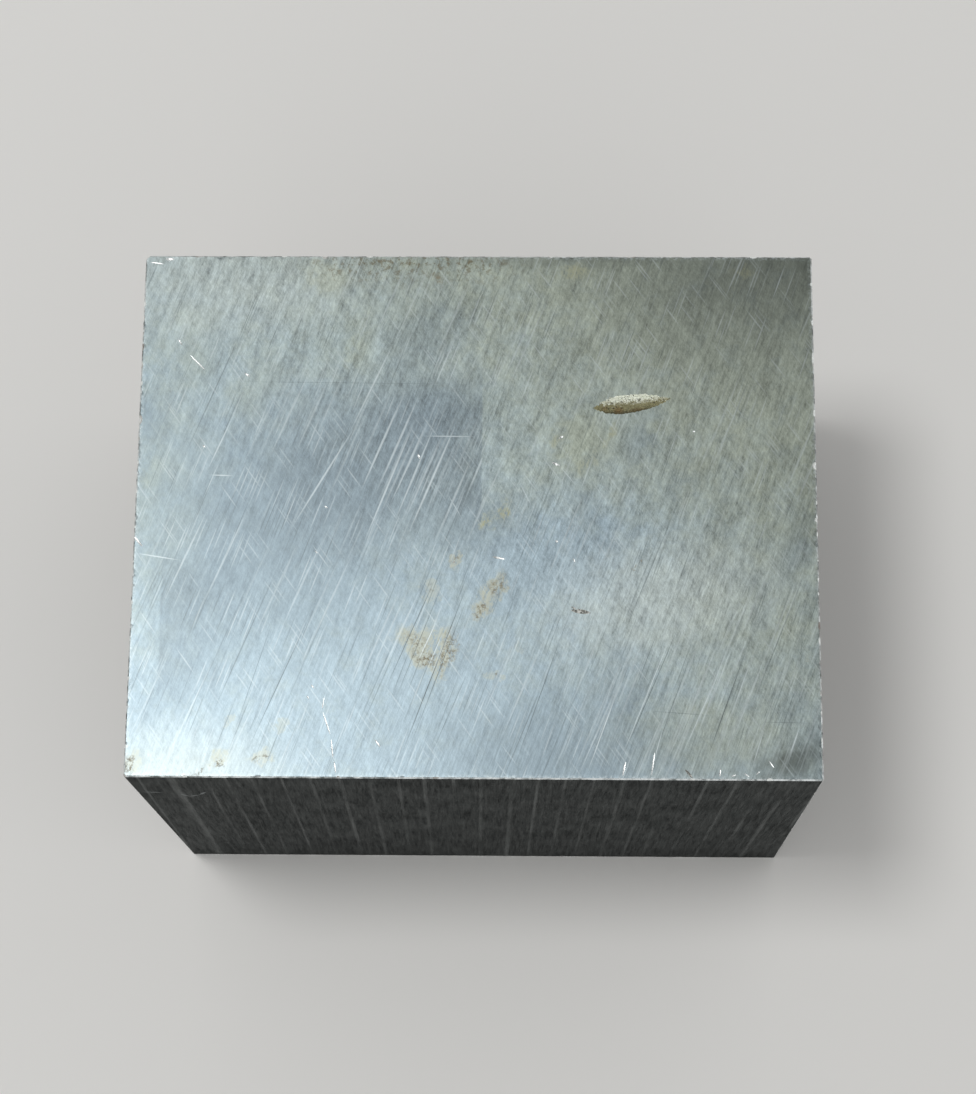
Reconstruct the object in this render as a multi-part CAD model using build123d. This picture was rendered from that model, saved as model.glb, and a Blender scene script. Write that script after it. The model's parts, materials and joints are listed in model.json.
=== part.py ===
from build123d import *
import math
import os

# A block of solid steel stock, in one rectangular piece.
# Its upright sides were sawn square, and its top was ground by hand.
# X runs along the block, Y across it from the front to the back, and Z up.
# The origin is the middle of the underside. Sizes are in millimetres and angles in degrees.

# The block
block_length = 63.0
block_depth = 50.0
block_height = 50.0
edge_break = 0.15  # the narrow flat that deburring leaves along every edge

# The gouge: a low spot in the raw bar that the grinding of the top didn't clean up
gouge_length = 7.3
gouge_width = 1.7
gouge_sink = 0.45
gouge_belly = 0.42  # share of the length from the left tip to the widest place
gouge_from_middle = 14.5  # along X, from the middle of the top to the middle of the gouge
gouge_from_back = 14.6  # from the back face
gouge_turn = 7.5

# Small dents in the top: (along X and Y from the middle of the top, length, width, sink, turn)
top_dents = [
    (9.6, -9.5, 1.9, 0.42, 0.14, -8),
    (7.5, 4.5, 0.75, 0.34, 0.12, -35),
    (7.9, 7.1, 0.45, 0.24, 0.08, 60),
    (2.1, -4.6, 1.1, 0.26, 0.08, -10),
]

# Knocks that nicked the top's edges: (place along the edge from its middle, length, sink)
right_edge_nicks = [
    (14.7, 2.3, 0.20),
    (4.4, 0.95, 0.34),
    (0.9, 0.7, 0.14),
    (-0.75, 0.6, 0.27),
    (-22.6, 0.5, 0.16),
]
left_edge_nicks = [(8.7, 1.15, 0.30), (4.5, 0.7, 0.18), (17.2, 0.6, 0.14)]
back_edge_nicks = [(-14.5, 0.7, 0.28), (14.4, 1.4, 0.16)]
front_edge_nicks = [(-12.1, 0.5, 0.18), (19.7, 0.9, 0.17)]
nick_spread = 3.0  # width of a nick's mouth for each millimetre that it is sunk

# Corners of the top that were knocked flat: (side along X, side along Y, reach)
# The reach is how much of each of the corner's two top edges the flat takes away.
corner_knocks = [(-1, 1, 0.55), (-1, -1, 0.45), (1, 1, 0.35)]
knock_slope = 30  # tilt of a knocked flat from the upright
slab_spare = 4  # the slab that cuts a flat is this many reaches on each side, well past the corner


def sawn_block():
    """The stock itself, with all its edges broken."""
    block = Box(
        block_length,
        block_depth,
        block_height,
        align=(Align.CENTER, Align.CENTER, Align.MIN),
    )
    return chamfer(block.edges(), edge_break)


def dent_cutter(length, width, sink, belly=0.5):
    """A body turned about an axis along X, over the plane Z = 0, that dips under it in a dent.
    The dent is pointed at both ends, and deepest at the belly's share of its length."""
    belly_radius = (width**2 / 4 + sink**2) / (2 * sink)
    tip_radius = belly_radius - sink
    left, right = -length * belly, length * (1 - belly)
    left_tip, right_tip, deepest = (left, tip_radius), (right, tip_radius), (0, belly_radius)
    profile = make_face(
        Curve()
        + [
            TangentArc(deepest, left_tip, tangent=(-1, 0)),
            TangentArc(deepest, right_tip, tangent=(1, 0)),
            Line(right_tip, (right, 0)),
            Line((right, 0), (left, 0)),
            Line((left, 0), left_tip),
        ]
    )
    middle_of_length = (left + right) / 2
    return Pos(-middle_of_length, 0, tip_radius) * revolve(profile, Axis.X)


def gouge():
    y = block_depth / 2 - gouge_from_back
    place = Pos(gouge_from_middle, y, block_height) * Rot(Z=gouge_turn)
    return place * dent_cutter(gouge_length, gouge_width, gouge_sink, gouge_belly)


def dents():
    return [
        Pos(x, y, block_height) * Rot(Z=turn) * dent_cutter(length, width, sink)
        for x, y, length, width, sink, turn in top_dents
    ]


def edge_nicks():
    """Each top edge's frame has X along the edge and Z out along the bisector of its two faces."""
    x, y, z = block_length / 2, block_depth / 2, block_height
    edges = [
        (Pos(x, 0, z) * Rot(Z=90) * Rot(X=-45), right_edge_nicks),
        (Pos(-x, 0, z) * Rot(Z=90) * Rot(X=45), left_edge_nicks),
        (Pos(0, y, z) * Rot(X=-45), back_edge_nicks),
        (Pos(0, -y, z) * Rot(X=45), front_edge_nicks),
    ]
    return [
        frame * Pos(place, 0, 0) * dent_cutter(length, nick_spread * sink, sink)
        for frame, nicks in edges
        for place, length, sink in nicks
    ]


def knocked_corners():
    """A slab outside each knocked corner, whose near face stands on the line that joins the
    ends of the flat on the two top edges, and leans out so that it cuts the corner off."""
    cuts = []
    for side_x, side_y, reach in corner_knocks:
        side = slab_spare * reach
        slab = Box(side, side, side, align=(Align.MIN, Align.CENTER, Align.CENTER))
        x = side_x * (block_length / 2 - reach / 2)
        y = side_y * (block_depth / 2 - reach / 2)
        facing = math.degrees(math.atan2(side_y, side_x))
        place = Pos(x, y, block_height) * Rot(Z=facing) * Rot(Y=-knock_slope)
        cuts.append(place * slab)
    return cuts


def steel_block():
    return sawn_block() - [gouge(), *dents(), *edge_nicks(), *knocked_corners()]


os.makedirs("parts", exist_ok=True)
export_step(steel_block(), "parts/steel_block.step")
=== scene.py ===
import json
import math
import random

import bpy
from mathutils import Euler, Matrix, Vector

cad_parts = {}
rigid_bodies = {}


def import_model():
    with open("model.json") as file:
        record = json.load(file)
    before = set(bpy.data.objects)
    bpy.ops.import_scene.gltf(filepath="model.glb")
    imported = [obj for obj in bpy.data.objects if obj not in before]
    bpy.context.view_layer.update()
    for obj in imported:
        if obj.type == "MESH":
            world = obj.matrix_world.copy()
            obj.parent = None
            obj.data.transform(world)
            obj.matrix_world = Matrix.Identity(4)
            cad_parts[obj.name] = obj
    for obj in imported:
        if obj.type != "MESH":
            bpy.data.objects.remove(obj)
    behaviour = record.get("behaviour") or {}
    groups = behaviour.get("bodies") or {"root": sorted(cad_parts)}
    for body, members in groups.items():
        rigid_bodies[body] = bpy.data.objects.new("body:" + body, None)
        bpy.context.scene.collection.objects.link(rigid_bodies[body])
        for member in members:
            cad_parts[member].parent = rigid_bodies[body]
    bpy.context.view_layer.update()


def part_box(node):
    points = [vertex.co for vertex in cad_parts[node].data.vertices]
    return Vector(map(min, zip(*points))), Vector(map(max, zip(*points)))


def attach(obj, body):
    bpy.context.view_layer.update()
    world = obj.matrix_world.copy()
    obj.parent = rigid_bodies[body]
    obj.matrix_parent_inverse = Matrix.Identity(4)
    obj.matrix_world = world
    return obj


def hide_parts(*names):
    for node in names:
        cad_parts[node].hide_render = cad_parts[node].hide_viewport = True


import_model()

# The stock: one solid block of bare steel, sawn square from a bar.
# The blade left evenly spaced upright ridges on its four sides, each a few hundredths of a
# millimetre high, and deburring left a narrow, uneven flat along every edge.

MM = 0.001
low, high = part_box("steel_block")
length, depth, height = high - low
half_length, half_depth = length / 2, depth / 2
edge_break = 0.15 * MM
ragged_ends, ragged_sides = 0.09 * MM, 0.04 * MM  # how deep the edges' unevenness goes
edge_zone = 0.2 * MM  # how near a side a point of an edge lies
face_zone = 0.18 * MM  # how near a side the middle of one of its faces lies
hair = 0.01 * MM  # more than any rounding error, and less than any detail

saw_pitch = 2.56  # millimetres from one ridge to the next
saw_lean = 0.023  # how far a ridge leans sideways for each millimetre up
saw_drift = 0.9  # how far the ridges stray from even spacing, in pitches
saw_flow = 0.06  # how fast the marks change upwards, as a share of how fast they change across
opposite_shift = 500.0  # millimetres between opposite sides along the marks, so that they differ
saw_relief = 0.03 * MM
grinding_relief = 0.02 * MM


def add(tree, kind, inputs=None, output=0, **settings):
    """Adds a node with its settings and inputs, each a value or a socket, and gives its output."""
    made = tree.nodes.new(kind)
    for name, value in settings.items():
        setattr(made, name, value)
    for key, value in (inputs or {}).items():
        if isinstance(value, bpy.types.NodeSocket):
            tree.links.new(value, made.inputs[key])
        else:
            made.inputs[key].default_value = value
    return made.outputs[output]


def select(piece, kind, wanted):
    """Selects the piece's edges or polygons that wanted accepts, and nothing else."""
    bpy.ops.object.mode_set(mode="EDIT")
    bpy.ops.mesh.select_mode(type={"edges": "EDGE", "polygons": "FACE"}[kind])
    bpy.ops.mesh.select_all(action="DESELECT")
    bpy.ops.object.mode_set(mode="OBJECT")
    for item in getattr(piece.data, kind):
        item.select = wanted(item)
    bpy.ops.object.mode_set(mode="EDIT")


def ends(edge):
    """The places of an edge's two ends."""
    return [block.data.vertices[end].co for end in edge.vertices]


def runs_along(axis):
    """Accepts the block's edges that are parallel to an axis."""

    def test(edge):
        start, end = ends(edge)
        return all(abs(start[other] - end[other]) < 1e-7 for other in range(3) if other != axis)

    return test


def lies_at(level):
    """Accepts the block's edges that lie at a height."""
    return lambda edge: all(abs(end.z - level) < 1e-6 for end in ends(edge))


bpy.ops.object.select_all(action="DESELECT")
bpy.ops.mesh.primitive_cube_add(size=1, location=(low + high) / 2, scale=high - low)
bpy.ops.object.transform_apply(location=True, rotation=True, scale=True)
block = bpy.context.object
block.name = "sawn_and_ground_block"
bpy.ops.object.mode_set(mode="EDIT")
bpy.ops.mesh.bevel(offset=edge_break, segments=1)

# Sides in columns an eighth of a millimetre wide, which can hold the ridges and the uneven edges
select(block, "polygons", lambda face: abs(face.normal.z) > 0.99)
bpy.ops.mesh.delete(type="ONLY_FACE")
for axis, rows in ((0, 63), (0, 8), (1, 50), (1, 8), (2, 25)):
    select(block, "edges", runs_along(axis))
    bpy.ops.mesh.subdivide(number_cuts=rows - 1)

# The underside, then the top: narrow bands along its border and millimetre squares inside them
select(block, "edges", lies_at(0))
bpy.ops.mesh.edge_face_add()
select(block, "edges", lies_at(height))
border = edge_break
for band in (0.1, 0.25, 0.5):
    inner = border + band * MM
    shrink_x = (half_length - inner) / (half_length - border)
    shrink_y = (half_depth - inner) / (half_depth - border)
    bpy.ops.mesh.extrude_edges_indiv()
    bpy.ops.transform.resize(value=(shrink_x, shrink_y, 1), center_override=(0, 0, height))
    border = inner
border += 1 * MM
bpy.ops.mesh.primitive_grid_add(x_subdivisions=60, y_subdivisions=47, size=1, location=(0, 0, height))
bpy.ops.transform.resize(
    value=(length - 2 * border, depth - 2 * border, 1), center_override=(0, 0, height)
)
bpy.ops.mesh.select_all(action="DESELECT")
bpy.ops.mesh.select_mode(type="EDGE")
bpy.ops.mesh.select_non_manifold()
bpy.ops.mesh.fill(use_beauty=True)
bpy.ops.mesh.select_all(action="SELECT")
bpy.ops.mesh.normals_make_consistent(inside=False)
bpy.ops.object.mode_set(mode="OBJECT")


def saw_marks(tree, across, up):
    """Height from 0 to 1 of the saw's marks, at a place given in millimetres across and up."""
    # Ridges a pitch apart, which lean and drift a little
    lean = add(tree, "ShaderNodeMath", {0: up, 1: saw_lean}, operation="MULTIPLY")
    straight = add(tree, "ShaderNodeMath", {0: across, 1: lean}, operation="SUBTRACT")
    drift = add(tree, "ShaderNodeTexNoise", {"W": straight, "Scale": 0.21}, noise_dimensions="1D")
    turns = add(tree, "ShaderNodeMath", {0: straight, 1: saw_pitch}, operation="DIVIDE")
    phase = add(tree, "ShaderNodeMath", {0: drift, 1: saw_drift, 2: turns}, operation="MULTIPLY_ADD")
    angle = add(tree, "ShaderNodeMath", {0: phase, 1: 2 * math.pi}, operation="MULTIPLY")
    wave = add(tree, "ShaderNodeMath", {0: angle}, operation="COSINE")
    ridge = add(tree, "ShaderNodeMapRange", {0: wave, 1: 0.86, 2: 1.0}, interpolation_type="SMOOTHSTEP")
    # Each ridge comes and goes on its way up, and fine lines fill the space between
    flow = add(tree, "ShaderNodeMath", {0: up, 1: saw_flow}, operation="MULTIPLY")
    spot = add(tree, "ShaderNodeCombineXYZ", {0: straight, 1: flow})
    share = add(tree, "ShaderNodeTexNoise", {"Vector": spot, "Scale": 0.55, "Detail": 2.0})
    share = add(tree, "ShaderNodeMapRange", {0: share, 1: 0.38, 2: 0.66, 3: 0.05})
    strong = add(tree, "ShaderNodeMath", {0: ridge, 1: share}, operation="MULTIPLY")
    fine = add(tree, "ShaderNodeTexNoise", {"Vector": spot, "Scale": 2.6, "Detail": 4.0, "Roughness": 0.9})
    faint = add(tree, "ShaderNodeMapRange", {0: fine, 1: 0.32, 2: 0.72, 4: 0.65})
    return add(
        tree, "ShaderNodeMath", {0: strong, 1: 0.48, 2: faint}, operation="MULTIPLY_ADD", use_clamp=True
    )


def side_of(tree, place, half, width):
    """-1 or 1 within a width of the block's two opposite sides, and 0 between them."""
    off = add(tree, "ShaderNodeMath", {0: place}, operation="ABSOLUTE")
    near = add(tree, "ShaderNodeMath", {0: off, 1: (half - width) / MM}, operation="GREATER_THAN")
    way = add(tree, "ShaderNodeMath", {0: place}, operation="SIGN")
    return add(tree, "ShaderNodeMath", {0: near, 1: way}, operation="MULTIPLY")


def new_relief(name):
    """Starts a node group that moves a mesh's points, and gives it with their place in millimetres."""
    tree = bpy.data.node_groups.new(name, "GeometryNodeTree")
    tree.interface.new_socket("Mesh", in_out="INPUT", socket_type="NodeSocketGeometry")
    tree.interface.new_socket("Mesh", in_out="OUTPUT", socket_type="NodeSocketGeometry")
    place = add(tree, "GeometryNodeInputPosition")
    return tree, add(tree, "ShaderNodeVectorMath", {0: place, "Scale": 1 / MM}, operation="SCALE")


def end_relief(tree, offset):
    """Ends a node group that moves each point by the offset."""
    body = add(tree, "NodeGroupInput")
    moved = add(tree, "GeometryNodeSetPosition", {"Geometry": body, "Offset": offset})
    tree.links.new(moved, tree.nodes.new("NodeGroupOutput").inputs[0])


def press(piece, tree):
    """Moves the points of the active piece as the node group says."""
    modifier = piece.modifiers.new(tree.name, "NODES")
    modifier.node_group = tree
    bpy.ops.object.modifier_apply(modifier=modifier.name)


relief, place = new_relief("saw_and_grinder")
x, y, z = (add(relief, "ShaderNodeSeparateXYZ", {0: place}, output=axis) for axis in range(3))

# Bites out of the top's four edges, as deburring and knocks leave them
bites = add(relief, "ShaderNodeTexNoise", {"Vector": place, "Scale": 1.1, "Detail": 3.0, "Roughness": 0.75})
bites = add(relief, "ShaderNodeMapRange", {0: bites, 1: 0.5, 2: 0.78}, interpolation_type="SMOOTHSTEP")
near_top = add(relief, "ShaderNodeMath", {0: z, 1: (height - edge_zone) / MM}, operation="GREATER_THAN")
bites = add(relief, "ShaderNodeMath", {0: bites, 1: near_top}, operation="MULTIPLY")

moves = []
edges = []
directions = ((x, y, half_length, ragged_ends), (y, x, half_depth, ragged_sides))
for off, across, half, depth_of_bites in directions:
    side = side_of(relief, off, half, hair)
    inputs = {0: side, 1: opposite_shift, 2: across}
    shifted = add(relief, "ShaderNodeMath", inputs, operation="MULTIPLY_ADD")
    marks = saw_marks(relief, shifted, z)
    sunk = add(relief, "ShaderNodeMath", {0: marks, 1: 1.0}, operation="SUBTRACT")
    sunk = add(relief, "ShaderNodeMath", {0: sunk, 1: saw_relief}, operation="MULTIPLY")
    inward = add(relief, "ShaderNodeMath", {0: sunk, 1: side}, operation="MULTIPLY")
    edge = side_of(relief, off, half, edge_zone)
    edge = add(relief, "ShaderNodeMath", {0: edge, 1: -depth_of_bites}, operation="MULTIPLY")
    moves.append(add(relief, "ShaderNodeMath", {0: bites, 1: edge, 2: inward}, operation="MULTIPLY_ADD"))
    edges.append(add(relief, "ShaderNodeMath", {0: edge}, operation="ABSOLUTE"))

# The same bites from above, and the grinder's shallow swells over the whole top
at_edge = add(relief, "ShaderNodeMath", {0: edges[0], 1: edges[1]}, operation="MAXIMUM")
at_edge = add(relief, "ShaderNodeMath", {0: at_edge, 1: -1.0}, operation="MULTIPLY")
on_top = add(relief, "ShaderNodeMath", {0: z, 1: (height - hair) / MM}, operation="GREATER_THAN")
swell = add(relief, "ShaderNodeTexNoise", {"Vector": place, "Scale": 0.11, "Detail": 1.5})
swell = add(relief, "ShaderNodeMath", {0: swell, 1: on_top}, operation="MULTIPLY")
swell = add(relief, "ShaderNodeMath", {0: swell, 1: -grinding_relief}, operation="MULTIPLY")
moves.append(add(relief, "ShaderNodeMath", {0: bites, 1: at_edge, 2: swell}, operation="MULTIPLY_ADD"))
end_relief(relief, add(relief, "ShaderNodeCombineXYZ", {0: moves[0], 1: moves[1], 2: moves[2]}))
press(block, relief)


def colour(code):
    """Linear colour from an sRGB hex code."""
    levels = [int(code[start : start + 2], 16) / 255 for start in (1, 3, 5)]
    return [c / 12.92 if c < 0.04045 else ((c + 0.055) / 1.055) ** 2.4 for c in levels] + [1.0]


def finish(name, roughness, metallic=1.0):
    """Starts a material, and gives its node tree, its shader and the place on it in millimetres."""
    made = bpy.data.materials.new(name)
    made.use_nodes = True
    tree = made.node_tree
    shader = tree.nodes["Principled BSDF"]
    shader.inputs["Roughness"].default_value = roughness
    shader.inputs["Metallic"].default_value = metallic
    place = add(tree, "ShaderNodeTexCoord", output=3)
    return tree, shader, add(tree, "ShaderNodeVectorMath", {0: place, "Scale": 1 / MM}, operation="SCALE")


def blend(tree, base, layers):
    """Lays colours over a base, each by its own factor."""
    for factor, code in layers:
        inputs = {0: factor, 6: base, 7: colour(code)}
        base = add(tree, "ShaderNodeMix", inputs, output=2, data_type="RGBA")
    return base


def sides_near(face):
    """The axes on which the face's middle lies at one of the block's six sides."""
    return [
        axis
        for axis in range(3)
        if min(face.center[axis] - low[axis], high[axis] - face.center[axis]) < face_zone
    ]


def dress(name, wanted):
    """Gives one of the materials to the block's faces that wanted accepts."""
    block.data.materials.append(bpy.data.materials[name])
    select(block, "polygons", wanted)
    block.active_material_index = len(block.data.materials) - 1
    bpy.ops.object.material_slot_assign()
    bpy.ops.object.mode_set(mode="OBJECT")


# Sawn sides: a dark base that is partly painted shade, and a lighter colour that is partly a painted
# highlight on the crests
saw_dark_and_shade, saw_light_and_crest_highlight, scratch_grey = "#4b4d4d", "#999c9b", "#b4b9ba"
edge_bright, edge_dull = "#d6dbdb", "#747a79"
saw_sheen = "#808080"  # sawn steel mirrors little at a grazing view
saw_bump = 0.02 * MM

# A wavy scratch on the front face: (along X, up Z, half the length, half the width, turn, strength)
front_scratch = (
    (-30.0, 41.5, 1.2, 0.2, -13, 0.8),
    (-27.2, 39.9, 1.0, 0.2, -62, 0.8),
    (-26.4, 39.6, 0.8, 0.2, 40, 0.8),
    (-25.4, 41.0, 1.2, 0.2, 66, 0.8),
)


def ovals(tree, flat, marks, rim):
    """The strongest of the oval marks at a place. A mark is at full strength over the share rim of
    its reach, and fades from there outwards."""
    total = 0.0
    for along_x, along_y, half_long, half_wide, turn, strength in marks:
        inputs = {
            "Vector": flat,
            "Location": (along_x, along_y, 0),
            "Rotation": (0, 0, math.radians(turn)),
            "Scale": (half_long, half_wide, 1),
        }
        oval = add(tree, "ShaderNodeMapping", inputs, vector_type="TEXTURE")
        depth_inside = add(tree, "ShaderNodeTexGradient", {0: oval}, output=1, gradient_type="SPHERICAL")
        inputs = {0: depth_inside, 2: 1 - rim, 4: strength}
        mark = add(tree, "ShaderNodeMapRange", inputs, interpolation_type="SMOOTHSTEP")
        total = add(tree, "ShaderNodeMath", {0: mark, 1: total}, operation="MAXIMUM")
    return total


# Sawn steel is duller than ground steel. Its dark base is partly painted shade, and the lighter colour
# along the crests of the ridges is partly a painted highlight
for name, across, off in (("sawn_steel_long_sides", 0, 1), ("sawn_steel_ends", 1, 0)):
    tree, shader, place = finish(name, roughness=0.42)
    shader.inputs["Specular Tint"].default_value = colour(saw_sheen)
    axes = [add(tree, "ShaderNodeSeparateXYZ", {0: place}, output=axis) for axis in range(3)]
    side = add(tree, "ShaderNodeMath", {0: axes[off]}, operation="SIGN")
    inputs = {0: side, 1: opposite_shift, 2: axes[across]}
    shifted = add(tree, "ShaderNodeMath", inputs, operation="MULTIPLY_ADD")
    marks = saw_marks(tree, shifted, axes[2])
    inputs = {"Vector": place, "Scale": 0.16, "Detail": 5.0, "Roughness": 0.6}
    mottle = add(tree, "ShaderNodeTexNoise", inputs)
    level = add(tree, "ShaderNodeMath", {0: mottle, 1: 0.5, 2: marks}, operation="MULTIPLY_ADD")
    level = add(tree, "ShaderNodeMapRange", {0: level, 1: 0.25, 2: 1.25})
    layers = [(level, saw_light_and_crest_highlight)]
    if off == 1:
        front = add(tree, "ShaderNodeCombineXYZ", {0: axes[0], 1: axes[2]})
        scratch = ovals(tree, front, front_scratch, 0.3)
        on_front = add(tree, "ShaderNodeMath", {0: side, 1: 0.0}, operation="LESS_THAN")
        scratch = add(tree, "ShaderNodeMath", {0: scratch, 1: on_front}, operation="MULTIPLY")
        layers.append((scratch, scratch_grey))
    tree.links.new(blend(tree, colour(saw_dark_and_shade), layers), shader.inputs["Base Color"])
    bump = add(tree, "ShaderNodeBump", {"Strength": 1.0, "Distance": saw_bump, "Height": marks})
    tree.links.new(bump, shader.inputs["Normal"])
    dress(name, lambda face, off=off: sides_near(face) == [off])

# Deburred edges are bare bright steel, with short stretches that have gone dull
tree, shader, place = finish("deburred_steel_edge", roughness=0.36)
wear = add(tree, "ShaderNodeTexNoise", {"Vector": place, "Scale": 0.9, "Detail": 4.0, "Roughness": 0.7})
wear = add(tree, "ShaderNodeMapRange", {0: wear, 1: 0.42, 2: 0.62})
tree.links.new(blend(tree, colour(edge_bright), [(wear, edge_dull)]), shader.inputs["Base Color"])
dress("deburred_steel_edge", lambda face: len(sides_near(face)) > 1)

# The ground top: a hand-held grinder was drawn over it slantwise, again and again.
# That leaves bright steel under a fine hatch. Tarnish has turned it bluish at the front left and
# olive at the back right, and stray scratches and thin rust stains lie over the whole. Its colour
# also holds painted light: a pale sheen at the front left and painted shade at the back right.

cool_steel, warm_steel = "#96a6ae", "#9fa79b"
blue_grey, tarnish_and_shade = "#7b888f", "#4f5450"
haze_and_sheen, tan, rust, ochre = "#bcc5c2", "#a7aa9c", "#857a62", "#9f9f80"
damp_brown = "#6b6148"
pale_scratch, dark_scratch = "#c9d3d5", "#5a6263"

groove_bump = 0.01 * MM

# Passes of the grinder: turn, length and width of its broadest strokes in millimetres, weight.
# Each pass also has strokes of a half, a quarter and so on of that size, all as strong.
passes = ((68, 10, 1.3, 0.75), (84, 6, 0.9, 0.6), (-54, 5, 0.9, 0.5), (0, 0.6, 0.6, 0.55))

# Soft clouds and stains on the top, in millimetres and degrees:
# (middle along X, middle along Y, half the length, half the width, turn, strength)
# Pale clouds: a real haze at the back left and on the right, and a painted sheen at the front left
haze_and_sheen_clouds = (
    (-29, -27, 17, 9, 10, 0.62),
    (-24, 23, 20, 9, 0, 0.4),
    (17, -8, 15, 8, 10, 0.5),
)
blue_clouds = (
    (-6, 7, 12, 8, 50, 0.45),
    (-5, 16.5, 7, 5, 40, 0.4),
    (-18, -1, 20, 17, 15, 0.6),
    (9, -22.5, 20, 8, 0, 0.6),
    (-1, -1, 9, 6, 0, 0.35),
    (-30, 8, 7, 3.5, 90, 0.35),
    (15.2, 6.9, 4, 2, 75, 0.45),
    (18.2, 2, 3, 1.5, 70, 0.35),
    (11, -0.5, 7, 4, -30, 0.15),
    (13, -18.5, 7, 5, 60, 0.5),
    (29.5, -4, 6, 2, 80, 0.3),
)
cool_clouds = ((9, -4, 15, 8, 10, 0.45),)
olive_clouds = (
    (9.5, 6.8, 4.5, 3.2, 50, 0.6),
    (-28, 15, 9, 5, 80, 0.35),
    (-29.8, 3.6, 4, 2.2, 85, 0.8),
    (-29, 0, 22, 7, 90, 0.45),
    (-14.2, 22.8, 3.2, 2.4, 0, 0.8),
    (-21, 12, 6, 3, 66, 0.35),
    (-11, 15.6, 3.2, 1.6, 66, 0.45),
    (18, 16.6, 4, 2, 70, 0.4),
    (20.4, -21.3, 13, 6, 0, 0.8),
    (24, -14, 12, 10, 0, 0.25),
    (28.3, -11.1, 4, 2.5, 80, 0.3),
    (21.7, -9.3, 6, 4, 60, 0.3),
)
# Dark clouds: partly olive tarnish and partly painted shade, deepest at the back right
tarnish_and_shade_clouds = (
    (34, 31, 33, 20, 28, 0.7),
    (31, 25, 5, 4, 35, 0.6),
    (14, 25.2, 22, 2.6, 0, 0.5),
    (7.9, 25, 2.4, 1.1, 0, 0.55),
    (29, -23.2, 5.5, 2.6, 25, 0.7),
    (31, 0, 9, 2.5, 90, 0.2),
)
tan_stains = (
    (-4.4, -12.3, 3.4, 1.9, -8, 0.8),
    (-3.0, -13.6, 3.0, 1.5, 78, 0.85),
    (-4.6, -13.6, 2.3, 1.4, -42, 0.8),
    (1.4, -8.2, 3.0, 1.3, 57, 0.85),
    (-1.8, -4.7, 1.2, 0.65, 90, 0.8),
    (-4.1, -7.6, 1.4, 1.1, 90, 0.5),
    (1.9, -15.5, 0.9, 0.7, 0, 0.5),
    (4.1, -13.0, 0.6, 0.5, 0, 0.3),
    (-23.0, -23.2, 1.3, 1.1, 60, 0.7),
    (-18.9, -23.1, 1.3, 0.8, 20, 0.6),
    (-30.6, -23.6, 1.1, 1.5, 0, 0.6),
    (-22.1, -19.8, 0.5, 0.6, 0, 0.4),
    (-17.3, -20.1, 0.7, 0.7, 0, 0.4),
)
rust_stains = (
    (-2.5, -13.3, 2.6, 1.3, 74, 0.8),
    (-4.2, -14.2, 2.2, 0.8, -40, 0.9),
    (-5.2, -12.4, 1.6, 1.2, -40, 0.5),
    (2.1, -7.2, 1.5, 0.9, 57, 0.8),
    (0.5, -9.5, 1.3, 0.8, 57, 0.9),
    (-1.9, -4.8, 0.5, 0.4, 90, 0.6),
    (-4.0, -7.4, 0.5, 0.5, 0, 0.4),
    (-22.9, -23.9, 0.7, 0.9, 40, 1.0),
    (-25.0, -24.5, 1.2, 0.35, 0, 0.8),
    (-31.3, -24.1, 0.9, 1.4, 0, 1.1),
    (-19.1, -23.2, 0.9, 0.3, 15, 0.7),
    (15.0, -5.05, 0.5, 0.3, 60, 0.9),
    (1.95, -15.5, 0.3, 0.25, 70, 1.2),
    (30.3, -13.9, 0.6, 0.4, 60, 0.8),
    (-3.6, 22.6, 0.9, 0.6, 60, 0.7),
    (-8.8, 24.3, 0.5, 0.7, 0, 0.8),
)
ochre_stains = (
    (2.6, -0.1, 1.4, 0.8, 60, 1.0),
    (1.0, -0.9, 1.5, 0.8, 60, 0.9),
    (9.2, 23.4, 2.2, 1.1, 0, 0.6),
    (24.9, 23.4, 1.5, 0.8, 0, 0.5),
    (12.6, 7.4, 1.8, 0.7, 60, 0.6),
    (7.4, 6.8, 1.2, 0.6, 60, 0.5),
    (10.5, 4.8, 2.6, 0.8, 50, 0.4),
)

# Single scratches that stand out, in the same form
dark_lines = (
    (-12.6, 12.35, 13.3, 0.05, -0.5, 0.34),
    (-5.7, -11.4, 7.4, 0.06, 67, 0.68),
    (-5.1, -12.6, 7.9, 0.05, 69, 0.59),
    (-3.5, -14.8, 10.6, 0.07, 70, 0.85),
    (-3.1, -15.0, 9.6, 0.05, 70, 0.68),
    (-8.1, -9.3, 4, 0.05, 70, 0.42),
    (-17.7, -16.3, 8.2, 0.06, 67, 0.68),
    (-20.0, -15.7, 7, 0.05, 73, 0.51),
    (-12.3, -14.3, 5.2, 0.04, 68, 0.38),
    (-2.2, -19.1, 5.6, 0.05, 67, 0.51),
    (6.1, -17.1, 8.2, 0.06, 71, 0.55),
    (16.3, -16.3, 8.8, 0.06, 67, 0.59),
    (15.6, -14.2, 4, 0.05, 69, 0.51),
    (18.2, -17.6, 6.2, 0.06, 70, 0.51),
    (22.9, -18.0, 6.6, 0.07, 70, 0.72),
    (24.2, -20.8, 3, 0.05, 72, 0.51),
    (18.8, -18.9, 3.4, 0.05, -4, 0.51),
    (28.2, -19.7, 2.8, 0.05, -1, 0.42),
    (26.1, 21, 4.2, 0.06, 67, 0.38),
)
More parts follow.
